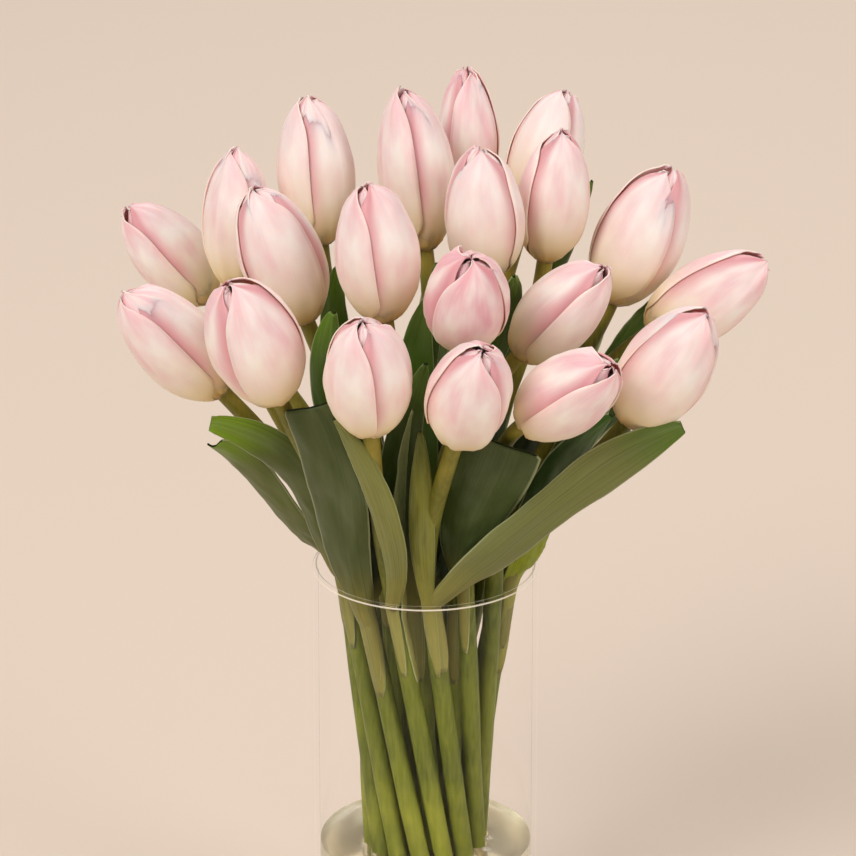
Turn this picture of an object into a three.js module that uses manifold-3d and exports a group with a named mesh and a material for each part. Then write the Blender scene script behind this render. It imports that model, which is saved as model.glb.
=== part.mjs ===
// Twenty tulips in a clear glass cylinder vase.
// Millimetres, +Z up. The origin is at the middle of the vase's underside, and the front is -Y.
import * as THREE from 'three';
import { mergeVertices } from 'three/addons/utils/BufferGeometryUtils.js';
import Module from 'manifold-3d';

const wasm = await Module();
wasm.setup();

// Vase and water
const VASE_RADIUS = 50;
const VASE_HEIGHT = 200;
const VASE_SIDES = 36;
const GLASS = 2.5;
const VASE_FLOOR = 8;
const RIM_ROUND = 0.8;
const WATER_LEVEL = 64;
const GAP = 0.3; // between pieces that touch

// Stems: straight from the floor to the rim in one spiral, then curved to each bloom's neck
const STEM_FOOT = VASE_FLOOR + GAP; // and the water's underside
const STEM_SIDES = 7;
const STEM_HOLE = 5.05; // radius of the hole in the water, a little over the stem's
const HOLE_REACH = 5; // how far the hole's tool stands out of the water
const FOOT_RADIUS = 4.6;
const NECK_RADIUS = 3.6;
const WAIST = 50; // height where the bunch is narrowest
const SPIRAL = 0.0082; // sideways lean of a stem for each mm that it stands from the axis
const CURVE_STEPS = 4;
const NECK_PULL = 1.15; // how early a stem turns towards its bloom's axis

// Seats of the stems at the rim, each ring in order round the vase, by tulip number
const OUTER_ORDER = [3, 20, 18, 19, 17, 15, 14, 13, 11, 9, 6, 1, 4, 2];
const OUTER_RING = { radius: 23.5, first: -139, tulips: OUTER_ORDER };
const INNER_RING = { radius: 11, first: -110, tulips: [7, 16, 12, 8, 5] };
const MIDDLE = { radius: 0, first: 0, tulips: [10] };

// Petals
const PETAL = 0.8; // thickness
const PETAL_TIP = 3; // width
const BUD_OUTLINE = { start: 0.035, end: 0.945, lean: 0.87, power: 0.62 };
const ROOT_WIDTH = 0.5; // a petal's width at its root, as a share of its greatest
const TIP_FROM = 0.55; // where along its length it starts to draw in, and how bluntly
const TIP_BLUNT = 2.6;
const TIP_ROUND = 0.55;
const PETAL_FOOT = 1; // height of a petal's root over the neck
const TIGHTEST = 1.6; // radius that the petals close to
const PETAL_ROWS = [0, 0.15, 0.45, 0.8, 1];
const INNER_ROWS = [0.03, 0.52, 0.96];
const OUTER_HALF_ANGLE = 70;
const INNER_HALF_ANGLE = 50;
const OUTER_LAP = 1.5; // one edge of a petal stands this far out, and the other this far in
const INNER_LAP = 0.4;
const WHORL_GAP = 3.8; // from the outer petals in to the inner ones
const RECEPTACLE = [[0, 0], [3.8, 0], [6.2, 3.4], [0, 6]];
const RECEPTACLE_SIDES = 6;

// Leaves
const LEAF = 0.9; // thickness
const LEAF_TIP = 1.2; // width
const LEAF_STEPS = 5;
const LEAF_WAVES = 3; // half waves along its edges
const LEAF_OUTLINE = { lean: 1.25, power: 0.7 };
const WIDE_LEAF = 20; // from this width a leaf has four strips, else two

const petalColour = new THREE.Color('#f0d3cc');
const leafColour = new THREE.Color('#56683c');
const glassColour = new THREE.Color('#e6ebe4');
const waterColour = new THREE.Color('#dfe6d6');

// Each bloom: where its neck and the tips of its petals are, its greatest width, the angle of its
// first outer petal from the front, which edge of a petal lies on top, and how far its tips stand open.
const TULIPS = {
  1: { neck: [-95, 58, 302], tip: [-132, 62, 344], width: 35, turn: -55, lap: 1, open: -0.05 },
  2: { neck: [-87, -34, 294], tip: [-128, -44, 344], width: 37, turn: -50, lap: 1, open: 0.05 },
  3: { neck: [-62, -62, 302], tip: [-82, -80, 360], width: 41, turn: 40, lap: -1, open: 0.05 },
  4: { neck: [-82, 26, 318], tip: [-82, 32, 382], width: 33, turn: -45, lap: 1, open: 0 },
  5: { neck: [-51, -12, 318], tip: [-73, -14, 380], width: 38, turn: -10, lap: 1, open: -0.12 },
  6: { neck: [-46, 44, 333], tip: [-51, 52, 399], width: 36, turn: -55, lap: 1, open: -0.1 },
  7: { neck: [-17, -36, 328], tip: [-25, -40, 391], width: 38, turn: -38, lap: 1, open: -0.12 },
  8: { neck: [0, 34, 334], tip: [-9, 42, 406], width: 35, turn: -50, lap: 1, open: -0.12 },
  9: { neck: [19, 66, 339], tip: [18, 76, 404], width: 29, turn: 30, lap: -1, open: -0.05 },
  10: { neck: [26, 2, 332], tip: [24, 0, 393], width: 36, turn: 5, lap: -1, open: -0.15 },
  11: { neck: [44, 56, 343], tip: [62, 68, 396], width: 34, turn: -40, lap: 1, open: -0.05 },
  12: { neck: [52, 20, 334], tip: [59, 22, 393], width: 33, turn: 0, lap: 1, open: -0.15 },
  13: { neck: [81, 22, 314], tip: [107, 26, 374], width: 40, turn: -35, lap: 1, open: -0.05 },
  14: { neck: [97, 2, 307], tip: [147, -2, 342], width: 36, turn: -10, lap: 1, open: 0.05 },
  15: { neck: [86, -48, 286], tip: [119, -63, 341], width: 40, turn: -20, lap: 1, open: 0.05 },
  16: { neck: [40, -14, 303], tip: [77, -24, 348], width: 34, turn: 60, lap: -1, open: -0.12 },
  17: { neck: [42, -60, 290], tip: [78, -92, 329], width: 36, turn: 50, lap: -1, open: 0.15 },
  18: { neck: [13, -72, 288], tip: [24, -102, 340], width: 38, turn: -20, lap: 1, open: 0 },
  19: { neck: [16, -38, 319], tip: [19, -66, 367], width: 39, turn: 25, lap: -1, open: -0.05 },
  20: { neck: [-23, -74, 292], tip: [-26, -94, 350], width: 39, turn: -55, lap: 1, open: -0.08 },
};

// Each leaf: the tulip that it grows on, the height where it leaves the stem, three points further
// along its middle line, its width and the plan angle that its outer side faces. The habit of a leaf is
// how deep it is folded, how far its edges wave, how far it turns from base to tip, the part of the
// outline that it takes (a base of 0 and a tip of 1 are points), and how much narrower it is halfway.
const LEAF_HABIT = { fold: 0.3, wave: 0.5, turn: 0, base: 0.1, tip: 1, waist: 0 };
const LEAVES = [
  // the front, from left to right
  { on: 4, from: 204, path: [[-55.8, -3, 215.7], [-74.1, -13, 244.2], [-92.6, -23, 265.3]],
    width: 27, face: -140, fold: 0.25, wave: 1, turn: 5, tip: 0.9 },
  { on: 2, from: 200, path: [[-45.2, -21.5, 225.5], [-58, -38, 261.1], [-94.9, -46, 285.3]],
    width: 21, face: -122, wave: 0.8, turn: 25, tip: 0.95 },
  { on: 3, from: 182, path: [[-34.9, -40.5, 222.3], [-39.6, -58.5, 261.7], [-51.3, -72, 304]],
    width: 28.5, face: -115, fold: 0.2, turn: 5, tip: 0.74 },
  { on: 20, from: 195, path: [[-13.8, -53.5, 226], [-22.1, -69.5, 264.5], [-39.4, -77, 300.5]],
    width: 13, face: -105 },
  { on: 20, from: 190, path: [[-10.2, -42, 228.6], [-9.7, -45, 258], [-4.9, -47, 293.5]],
    width: 10, face: -25, wave: 0 },
  { on: 7, from: 185, path: [[-11, -26, 230], [-10, -33, 268], [1, -40, 312]],
    width: 18, face: -90 },
  { on: 18, from: 195, path: [[-1.1, -48, 221.7], [-1.9, -55, 252.8], [-2.3, -60, 288.2]],
    width: 11.5, face: -95, wave: 0.3 },
  { on: 19, from: 205, path: [[15.8, -40.5, 227.9], [23.5, -50, 254.5], [31.8, -62, 283]],
    width: 38, face: -104, fold: 0.1, base: 0.02, tip: 0.5 },
  { on: 18, from: 197, path: [[34.3, -53.5, 229.8], [70.3, -63.3, 265.3], [111.6, -65, 291.4]],
    width: 27, face: -62, fold: 0.2, wave: 1.2, turn: -20, tip: 0.98, waist: 0.33 },
  { on: 15, from: 195, path: [[49, -8, 226], [63, -8, 252], [82, -8, 274]],
    width: 20, face: -60 },
  { on: 15, from: 182, path: [[41.7, -9, 200.1], [47.8, -9, 209.7], [54.3, -7, 219.3]],
    width: 16, face: -50 },
  { on: 3, from: 190, path: [[-22.9, -29, 211.1], [-24.5, -35, 235], [-27.3, -43, 261.8]],
    width: 16, face: -100 },
  { on: 7, from: 190, path: [[7.7, -22, 205.7], [9, -26, 226.5], [10.2, -31, 252.2]],
    width: 14, face: -90 },
  // between the blooms
  { on: 6, from: 235, path: [[-34, 26, 272], [-40, 22, 304], [-38, 14, 336]],
    width: 14, face: -90 },
  { on: 5, from: 205, path: [[-29, -12, 246], [-41, -20, 288], [-39, -26, 330]],
    width: 23, face: -110 },
  { on: 10, from: 215, path: [[-2, -8, 260], [-4, -8, 296], [2, -6, 330]],
    width: 17, face: -90 },
  { on: 8, from: 250, path: [[1, 20, 290], [3, 16, 314], [5, 11, 338]],
    width: 11, face: -90, fold: 0.4, wave: 0 },
  { on: 10, from: 255, path: [[27, -2, 292], [36, -3, 320], [38, -15, 341]],
    width: 13, face: -70, fold: 0.2, wave: 0 },
  { on: 12, from: 258, path: [[52, 30, 310], [65, 34, 342], [73, 34, 368]],
    width: 12, face: -50, fold: 0.5 },
  { on: 14, from: 225, path: [[66, -3, 260], [76, -9, 282], [85, -12, 302]],
    width: 17, face: -70 },
  { on: 14, from: 240, path: [[80, 13, 285], [96, 18, 307], [111, 22, 326]],
    width: 13, face: -60, fold: 0.4 },
  { on: 16, from: 180, path: [[21, -6, 226], [26, -5, 254], [36, 2, 282]],
    width: 18, face: -90 },
  { on: 8, from: 190, path: [[5, 14, 222], [9, 14, 250], [15, 16, 285]],
    width: 21, face: -90, fold: 0.1, wave: 0 },
  { on: 12, from: 190, path: [[36, 11, 230], [47, 12, 258], [62, 12, 285]],
    width: 18, face: -70 },
  // the back, from right to left
  { on: 14, from: 175, path: [[58, 22, 226], [76, 28, 250], [96, 34, 268]],
    width: 19, face: 20, wave: 1 },
  { on: 13, from: 180, path: [[48, 40, 236], [62, 48, 266], [80, 58, 288]],
    width: 21, face: 45, wave: 1 },
  { on: 11, from: 180, path: [[28, 54, 240], [36, 66, 272], [42, 82, 298]],
    width: 21, face: 65, wave: 1 },
  { on: 9, from: 185, path: [[3, 56, 240], [4, 70, 275], [2, 88, 304]],
    width: 21, face: 92, wave: 1 },
  { on: 6, from: 180, path: [[-28, 52, 238], [-36, 64, 270], [-46, 80, 296]],
    width: 21, face: 118, wave: 1 },
  { on: 1, from: 178, path: [[-50, 42, 230], [-66, 58, 256], [-84, 76, 276]],
    width: 19, face: 140, wave: 1 },
];

const degrees = Math.PI / 180;
const vector = (values) => new THREE.Vector3(...values);
const plan = (angle) => new THREE.Vector3(Math.cos(angle * degrees), Math.sin(angle * degrees), 0);
const squareTo = (v, axis) => v.addScaledVector(axis, -v.dot(axis)).normalize();

// A part of a sine's half wave: the outline of a leaf, and the outline of a bud seen from the side.
function swell({ start, end, lean, power }, t) {
  return Math.sin(Math.PI * THREE.MathUtils.lerp(start, end, t ** lean)) ** power;
}

// A closed solid from a geometry: shared corners are merged and flat triangles at an axis dropped.
function solid(geometry) {
  geometry.deleteAttribute('normal');
  geometry.deleteAttribute('uv');
  const merged = mergeVertices(geometry, 1e-4);
  const corners = merged.index.array;
  const kept = [];
  for (let i = 0; i < corners.length; i += 3) {
    const [a, b, c] = corners.slice(i, i + 3);
    if (a !== b && b !== c && c !== a) kept.push(a, b, c);
  }
  const vertProperties = merged.attributes.position.array;
  const triVerts = Uint32Array.from(kept);
  return new wasm.Manifold(new wasm.Mesh({ numProp: 3, vertProperties, triVerts }));
}

// A geometry from corner points and triangles.
function faceted(points, triangles) {
  const geometry = new THREE.BufferGeometry().setFromPoints(points);
  geometry.setIndex(triangles);
  return geometry;
}

// The largest body of a joined shape: loose scraps are dropped and sealed hollows are filled.
function largestBody(shape) {
  return shape.decompose().reduce((a, b) => (a.volume() > b.volume() ? a : b));
}

function meshOf(name, shape, material) {
  const { vertProperties, triVerts } = shape.getMesh();
  const geometry = new THREE.BufferGeometry();
  geometry.setAttribute('position', new THREE.BufferAttribute(vertProperties, 3));
  geometry.setIndex(new THREE.BufferAttribute(triVerts, 1));
  geometry.computeVertexNormals();
  const mesh = new THREE.Mesh(geometry, material);
  mesh.name = name;
  return mesh;
}

// A tube through rings of points, closed by a fan at each end.
function tube(centres, directions, radii) {
  const points = [];
  centres.forEach((centre, i) => {
    const side = squareTo(new THREE.Vector3(1, 0, 0), directions[i]);
    const other = new THREE.Vector3().crossVectors(directions[i], side);
    for (let k = 0; k < STEM_SIDES; k += 1) {
      const angle = (k * 2 * Math.PI) / STEM_SIDES;
      const point = centre.clone().addScaledVector(side, radii[i] * Math.cos(angle));
      points.push(point.addScaledVector(other, radii[i] * Math.sin(angle)));
    }
  });
  const triangles = [];
  for (let i = 0; i + 1 < centres.length; i += 1) {
    for (let k = 0; k < STEM_SIDES; k += 1) {
      const a = i * STEM_SIDES + k;
      const b = i * STEM_SIDES + ((k + 1) % STEM_SIDES);
      triangles.push(a, b, b + STEM_SIDES, a, b + STEM_SIDES, a + STEM_SIDES);
    }
  }
  const last = points.length - STEM_SIDES;
  for (let k = 1; k + 1 < STEM_SIDES; k += 1) {
    triangles.push(0, k + 1, k, last, last + k, last + k + 1);
  }
  return solid(faceted(points, triangles));
}

// A thin closed blade about a grid of points, its two faces split into triangles alike.
function blade(rows, thickness) {
  const m = rows.length - 1;
  const n = rows[0].length - 1;
  const at = (i, j) => rows[Math.min(Math.max(i, 0), m)][Math.min(Math.max(j, 0), n)];
  const outer = [];
  const inner = [];
  for (let i = 0; i <= m; i += 1) {
    for (let j = 0; j <= n; j += 1) {
      const along = at(i + 1, j).clone().sub(at(i - 1, j));
      const across = at(i, j + 1).clone().sub(at(i, j - 1));
      const normal = along.cross(across).normalize();
      outer.push(at(i, j).clone().addScaledVector(normal, thickness / 2));
      inner.push(at(i, j).clone().addScaledVector(normal, -thickness / 2));
    }
  }
  const back = outer.length;
  const index = (i, j) => i * (n + 1) + j;
  const triangles = [];
  const bothFaces = (a, b, c) => triangles.push(a, b, c, back + a, back + c, back + b);
  for (let i = 0; i < m; i += 1) {
    for (let j = 0; j < n; j += 1) {
      bothFaces(index(i, j), index(i + 1, j), index(i, j + 1));
      bothFaces(index(i + 1, j), index(i + 1, j + 1), index(i, j + 1));
    }
  }
  const edge = [];
  for (let i = 0; i < m; i += 1) edge.push(index(i, 0));
  for (let j = 0; j < n; j += 1) edge.push(index(m, j));
  for (let i = m; i > 0; i -= 1) edge.push(index(i, n));
  for (let j = n; j > 0; j -= 1) edge.push(index(0, j));
  edge.forEach((a, k) => {
    const b = edge[(k + 1) % edge.length];
    triangles.push(b, a, back + a, b, back + a, back + b);
  });
  return solid(faceted([...outer, ...inner], triangles));
}

function lathe(profile, sides) {
  const points = profile.map(([r, z]) => new THREE.Vector2(r, z));
  return new THREE.LatheGeometry(points, sides).rotateX(Math.PI / 2);
}

// Where a stem stands at the waist, and how it leans for each mm of height.
function seatOf(number) {
  const ring = [OUTER_RING, INNER_RING, MIDDLE].find(({ tulips }) => tulips.includes(number));
  const place = ring.tulips.indexOf(number) / ring.tulips.length;
  const unwound = Math.atan(SPIRAL * (VASE_HEIGHT - WAIST)) / degrees;
  const seat = plan(ring.first + 360 * place + unwound).multiplyScalar(ring.radius).setZ(WAIST);
  const lean = new THREE.Vector3(SPIRAL * seat.y, -SPIRAL * seat.x, 1);
  return { seat, lean };
}

// The stem's middle line: straight up to the rim, then a cubic curve to the neck.
function stemAt(number, height) {
  const { seat, lean } = seatOf(number);
  if (height <= VASE_HEIGHT) {
    const point = seat.clone().addScaledVector(lean, height - WAIST);
    return { point, direction: lean.clone().normalize() };
  }
  const axis = bloomAxis(number);
  const rim = seat.clone().addScaledVector(lean, VASE_HEIGHT - WAIST);
  const neck = vector(TULIPS[number].neck);
  const rise = neck.z - VASE_HEIGHT;
  const bendLow = rim.clone().addScaledVector(lean, rise / 3);
  const bendHigh = neck.clone().addScaledVector(axis, (-NECK_PULL * rise) / 3);
  const curve = new THREE.CubicBezierCurve3(rim, bendLow, bendHigh, neck);
  const t = (height - VASE_HEIGHT) / rise;
  return { point: curve.getPoint(t), direction: curve.getTangent(t) };
}

function bloomAxis(number) {
  const { neck, tip } = TULIPS[number];
  return vector(tip).sub(vector(neck)).normalize();
}

function stem(number) {
  const neckHeight = TULIPS[number].neck[2];
  const heights = [STEM_FOOT, VASE_HEIGHT];
  for (let k = 1; k <= CURVE_STEPS; k += 1) {
    heights.push(VASE_HEIGHT + ((neckHeight - VASE_HEIGHT) * k) / CURVE_STEPS);
  }
  const stations = heights.map((height) => stemAt(number, height));
  const centres = stations.map(({ point }) => point);
  const directions = stations.map(({ direction }) => direction);
  directions[0] = new THREE.Vector3(0, 0, 1);
  directions[CURVE_STEPS + 1] = bloomAxis(number);
  centres[CURVE_STEPS + 1].addScaledVector(bloomAxis(number), -GAP);
  const radii = heights.map((height) => {
    const share = (height - STEM_FOOT) / (neckHeight - STEM_FOOT);
    return THREE.MathUtils.lerp(FOOT_RADIUS, NECK_RADIUS, share);
  });
  return tube(centres, directions, radii);
}

// The hole that a stem leaves in the water.
function stemHole(number) {
  const heights = [STEM_FOOT - HOLE_REACH, WATER_LEVEL + HOLE_REACH];
  const ends = heights.map((height) => stemAt(number, height).point);
  const up = new THREE.Vector3(0, 0, 1);
  return tube(ends, [up, up], [STEM_HOLE, STEM_HOLE]);
}

// A cubic curve through four points, a third of the way apart.
function throughFour([a, b, c, d], t) {
  const bendLow = a.clone().multiplyScalar(-5).addScaledVector(b, 18).addScaledVector(c, -9);
  const bendHigh = d.clone().multiplyScalar(-5).addScaledVector(c, 18).addScaledVector(b, -9);
  bendLow.addScaledVector(d, 2).divideScalar(6);
  bendHigh.addScaledVector(a, 2).divideScalar(6);
  const curve = new THREE.CubicBezierCurve3(a, bendLow, bendHigh, d);
  return { point: curve.getPoint(t), direction: curve.getTangent(t) };
}

function leafBlade(described) {
  const leaf = { ...LEAF_HABIT, ...described };
  const path = [stemAt(leaf.on, leaf.from).point, ...leaf.path.map(vector)];
  const strips = leaf.width > WIDE_LEAF ? 4 : 2;
  const rows = [];
  for (let i = 0; i <= LEAF_STEPS; i += 1) {
    const t = i / LEAF_STEPS;
    const { point, direction } = throughFour(path, t);
    const outward = squareTo(plan(leaf.face), direction);
    outward.applyAxisAngle(direction, leaf.turn * t * degrees);
    const across = new THREE.Vector3().crossVectors(outward, direction);
    const waist = 1 - leaf.waist * Math.sin(Math.PI * t) ** 6;
    const outline = swell({ ...LEAF_OUTLINE, start: leaf.base, end: leaf.tip }, t) * waist;
    const half = Math.max(leaf.width * outline, LEAF_TIP) / 2;
    const wave = leaf.wave * Math.sin(LEAF_WAVES * Math.PI * t);
    const row = [];
    for (let j = 0; j <= strips; j += 1) {
      const s = (2 * j) / strips - 1;
      const depth = -leaf.fold * half * s * s + wave * s * Math.abs(s);
      row.push(point.clone().addScaledVector(across, half * s).addScaledVector(outward, depth));
    }
    rows.push(row);
  }
  return blade(rows, LEAF);
}

function leafyStem(number) {
  const leaves = LEAVES.filter(({ on }) => on === number).map(leafBlade);
  return largestBody(wasm.Manifold.union([stem(number), ...leaves]));
}

// How wide a petal is along its length: it opens from its root, and draws in to its tip.
const rootShape = (t) => THREE.MathUtils.lerp(ROOT_WIDTH, 1, Math.min(t / PETAL_ROWS[1], 1));
const tipShape = (t) => {
  const drawnIn = Math.max((t - TIP_FROM) / (1 - TIP_FROM), 0);
  return (1 - drawnIn ** TIP_BLUNT) ** TIP_ROUND;
};

const OUTER_WHORL = {
  rows: PETAL_ROWS, strips: 3, halfAngle: OUTER_HALF_ANGLE, lap: OUTER_LAP, inset: 0,
};
const INNER_WHORL = {
  rows: INNER_ROWS, strips: 2, halfAngle: INNER_HALF_ANGLE, lap: INNER_LAP, inset: WHORL_GAP,
};

function petal(tulip, frame, middle, whorl) {
  const rows = whorl.rows.map((t) => {
    const bud = swell(BUD_OUTLINE, t) + tulip.open * t ** 3;
    const radius = Math.max((tulip.width / 2 - OUTER_LAP) * bud - whorl.inset, TIGHTEST);
    const widest = whorl.halfAngle * degrees;
    const half = Math.max(widest * rootShape(t) * tipShape(t), PETAL_TIP / 2 / radius);
    const row = [];
    for (let j = 0; j <= whorl.strips; j += 1) {
      const s = (2 * j) / whorl.strips - 1;
      const angle = middle * degrees + s * half;
      const reach = radius + tulip.lap * whorl.lap * s * rootShape(t);
      const height = THREE.MathUtils.lerp(PETAL_FOOT, frame.length, t);
      const point = frame.neck.clone().addScaledVector(frame.axis, height);
      point.addScaledVector(frame.front, reach * Math.cos(angle));
      row.push(point.addScaledVector(frame.right, reach * Math.sin(angle)));
    }
    return row;
  });
  return blade(rows, PETAL);
}

function bloom(number) {
  const tulip = TULIPS[number];
  const neck = vector(tulip.neck);
  const axis = bloomAxis(number);
  const length = vector(tulip.tip).distanceTo(neck);
  const front = squareTo(new THREE.Vector3(0, -1, 0), axis);
  const right = new THREE.Vector3().crossVectors(axis, front);
  const frame = { neck, axis, length, front, right };
  const placed = new THREE.Matrix4().makeBasis(front, right, axis).setPosition(neck);
  const pieces = [solid(lathe(RECEPTACLE, RECEPTACLE_SIDES).applyMatrix4(placed))];
  for (const third of [0, 120, 240]) {
    pieces.push(petal(tulip, frame, tulip.turn + third, OUTER_WHORL));
    pieces.push(petal(tulip, frame, tulip.turn + third + 60, INNER_WHORL));
  }
  return largestBody(wasm.Manifold.union(pieces));
}

function vase() {
  const inside = VASE_RADIUS - GLASS;
  return solid(lathe([
    [0, 0],
    [VASE_RADIUS - RIM_ROUND, 0],
    [VASE_RADIUS, RIM_ROUND],
    [VASE_RADIUS, VASE_HEIGHT - RIM_ROUND],
    [VASE_RADIUS - RIM_ROUND, VASE_HEIGHT],
    [inside + RIM_ROUND, VASE_HEIGHT],
    [inside, VASE_HEIGHT - RIM_ROUND],
    [inside, VASE_FLOOR],
    [0, VASE_FLOOR],
  ], VASE_SIDES));
}

function water(numbers) {
  const radius = VASE_RADIUS - GLASS - GAP;
  const body = solid(lathe([
    [0, STEM_FOOT],
    [radius, STEM_FOOT],
    [radius, WATER_LEVEL],
    [0, WATER_LEVEL],
  ], VASE_SIDES));
  return largestBody(body.subtract(wasm.Manifold.union(numbers.map(stemHole))));
}

const matteFinish = (color) => new THREE.MeshStandardMaterial({ color, roughness: 0.5, metalness: 0 });
const clearFinish = (color) => new THREE.MeshStandardMaterial({
  color, roughness: 0.03, metalness: 0, transparent: true, opacity: 0.25,
});

const tulips = new THREE.Group();
const numbers = Object.keys(TULIPS).map(Number);
tulips.add(meshOf('vase', vase(), clearFinish(glassColour)));
tulips.add(meshOf('water', water(numbers), clearFinish(waterColour)));
for (const number of numbers) {
  const label = String(number).padStart(2, '0');
  tulips.add(meshOf(`leafy_stem_${label}`, leafyStem(number), matteFinish(leafColour)));
  tulips.add(meshOf(`bloom_${label}`, bloom(number), matteFinish(petalColour)));
}

export default tulips;
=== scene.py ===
# %% [markdown]
# # Twenty tulips in a glass cylinder vase
# A florist holds such a bunch by its waist and adds each stem at the same slant, so the stems cross
# in a spiral and the blooms spread into a dome. This lesson dresses the plain solids of the bunch:
# every stem, leaf, petal, the glass and the water gets a finer shape in the same place.
# Lengths are written in millimetres, as a maker would measure them, and turned to metres once.

import math

import bmesh
import bpy
import numpy as np
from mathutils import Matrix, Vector
from mathutils.geometry import delaunay_2d_cdt


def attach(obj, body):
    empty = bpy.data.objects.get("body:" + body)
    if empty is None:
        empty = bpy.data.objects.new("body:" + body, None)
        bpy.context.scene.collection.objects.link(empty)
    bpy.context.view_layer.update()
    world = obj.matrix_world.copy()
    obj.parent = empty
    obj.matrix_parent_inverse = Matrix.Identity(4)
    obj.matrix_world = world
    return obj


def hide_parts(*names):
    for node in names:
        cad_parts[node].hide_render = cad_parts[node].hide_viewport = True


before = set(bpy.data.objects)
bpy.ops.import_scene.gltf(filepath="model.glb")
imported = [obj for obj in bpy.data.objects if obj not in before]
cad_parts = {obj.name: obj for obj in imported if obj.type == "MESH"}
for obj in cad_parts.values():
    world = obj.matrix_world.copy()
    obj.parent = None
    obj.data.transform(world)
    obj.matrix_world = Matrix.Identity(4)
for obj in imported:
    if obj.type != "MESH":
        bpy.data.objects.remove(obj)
scene = bpy.context.scene
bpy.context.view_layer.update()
MM = 0.001
print("solids to dress:", len(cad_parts))

# %% [markdown]
# ## Camera, floor and light
# The photograph looks down on the bunch from far away, so its lines hardly converge: a 225 mm lens
# from 2.5 m. The floor is one large pale sheet that fills the view, warm beige like a studio's
# paper roll. The light is a broad softbox high on the left, a weaker one on the right, a third
# behind and a bright room, which together give the petals their even glow with no hard shadow.

# %% Camera
LOOKS_DOWN = 22  # degrees
camera_data = bpy.data.cameras.new("camera")
camera_data.sensor_width = 36
camera_data.lens = 225
camera = bpy.data.objects.new("camera", camera_data)
camera.location = (0.0011, -2.1727, 1.1418)
camera.rotation_euler = (math.radians(90 - LOOKS_DOWN), 0, 0)
scene.collection.objects.link(camera)
scene.camera = camera
print("the camera stands", round(camera.location.length, 2), "m away")


# %% Colours and nodes
def linear(hex_colour):
    """An sRGB hex colour, as seen on screen, as the linear colour that the shaders count in."""
    parts = [int(hex_colour[i : i + 2], 16) / 255 for i in (1, 3, 5)]
    return [p / 12.92 if p <= 0.04045 else ((p + 0.055) / 1.055) ** 2.4 for p in parts] + [1.0]


def add(tree, kind, inputs=(), operation=None, **settings):
    """Adds a node. Inputs are values or other nodes, in order or by name; settings are its own."""
    made = tree.nodes.new(kind)
    if operation:
        made.operation = operation
    for name, value in settings.items():
        setattr(made, name, value)
    shown = [socket for socket in made.inputs if socket.enabled]
    for key, value in inputs.items() if isinstance(inputs, dict) else enumerate(inputs):
        if isinstance(key, int):
            socket = shown[key]
        else:
            socket = next(s for s in shown if key in (s.identifier, s.name))
        if isinstance(value, bpy.types.Node):
            value = next(s for s in value.outputs if s.enabled)
        if isinstance(value, bpy.types.NodeSocket):
            tree.links.new(value, socket)
        elif value is not None:
            socket.default_value = value
    return made


def new_material(name, finish):
    """A material, with the same finish all over set on its shader, and its tree and shader."""
    material = bpy.data.materials.new(name)
    material.use_nodes = True
    surface = material.node_tree.nodes["Principled BSDF"]
    for label, value in finish.items():
        surface.inputs[label].default_value = value
    return material, material.node_tree, surface


def place_mesh(name, mesh):
    """An object at the origin, with its place in its mesh."""
    piece = bpy.data.objects.new(name, mesh)
    scene.collection.objects.link(piece)
    return piece


# %% Floor: uncoated paper, which has no gloss to speak of
FLOOR_RADIUS, FLOOR_SIDES = 9, 64  # metres
paper = new_material(
    "matte_paper_roll",
    {"Base Color": linear("#D9CABC"), "Roughness": 0.9, "Specular IOR Level": 0.1},
)[0]
angles = np.linspace(0, 2 * math.pi, FLOOR_SIDES + 1)[:-1]
mesh = bpy.data.meshes.new("floor")
mesh.from_pydata(
    [(FLOOR_RADIUS * math.cos(a), FLOOR_RADIUS * math.sin(a), 0) for a in angles],
    [],
    [list(range(FLOOR_SIDES))],
)
mesh.materials.append(paper)
floor = place_mesh("floor", mesh)

# %% Light
SOFTBOXES = {  # where it stands, its size in metres and its power in watts
    "softbox_left": ((-1.4, -1.6, 2.3), 1.6, 53),
    "softbox_right": ((1.9, -1.3, 1.5), 1.4, 21),
    "softbox_back": ((0.2, 1.8, 2.0), 1.4, 19),
}
AIM_HEIGHT = 0.25  # metres: the leaves, halfway up
for name, (place, size, power) in SOFTBOXES.items():
    lamp = bpy.data.lights.new(name, "AREA")
    lamp.shape, lamp.size, lamp.energy = "DISK", size, power
    lamp.color = linear("#FFF9F4")[:3]
    stand = bpy.data.objects.new(name, lamp)
    stand.location = place
    aim = -stand.location
    aim.z += AIM_HEIGHT
    stand.rotation_euler = aim.to_track_quat("-Z", "Y").to_euler()
    scene.collection.objects.link(stand)

room = bpy.data.worlds.new("bright_room")
room.use_nodes = True
room.node_tree.nodes["Background"].inputs["Color"].default_value = linear("#F6F1EC")
room.node_tree.nodes["Background"].inputs["Strength"].default_value = 0.55
scene.world = room
scene.view_settings.view_transform = "Standard"
print("softboxes:", len(SOFTBOXES))

# %% [markdown]
# ## The plan of the bunch
# How the stems slant through the waist, where each bloom's neck and tips are and the middle line of
# every leaf are the measurements of the solids, so each finer piece lies where its solid lies. How
# far a bloom is turned and how open it is are set by the seams that the photograph shows.

# %% Measurements
VASE_RADIUS, VASE_HEIGHT, GLASS, VASE_FLOOR, WATER_LEVEL = 50, 200, 2.5, 8, 64
FOOT_RADIUS, NECK_RADIUS = 4.6, 3.6
WAIST = 50  # the height where the bunch is narrowest
SPIRAL = 0.0082  # how much a stem slants for each millimetre that it stands off the middle
NECK_PULL = 1.15  # how straight a stem comes into its bloom
RINGS = [  # radius at the waist, angle of the first stem, and the stems in order
    (23.5, -139, [3, 20, 18, 19, 17, 15, 14, 13, 11, 9, 6, 1, 4, 2]),
    (11, -110, [7, 16, 12, 8, 5]),
    (0, 0, [10]),
]
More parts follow.
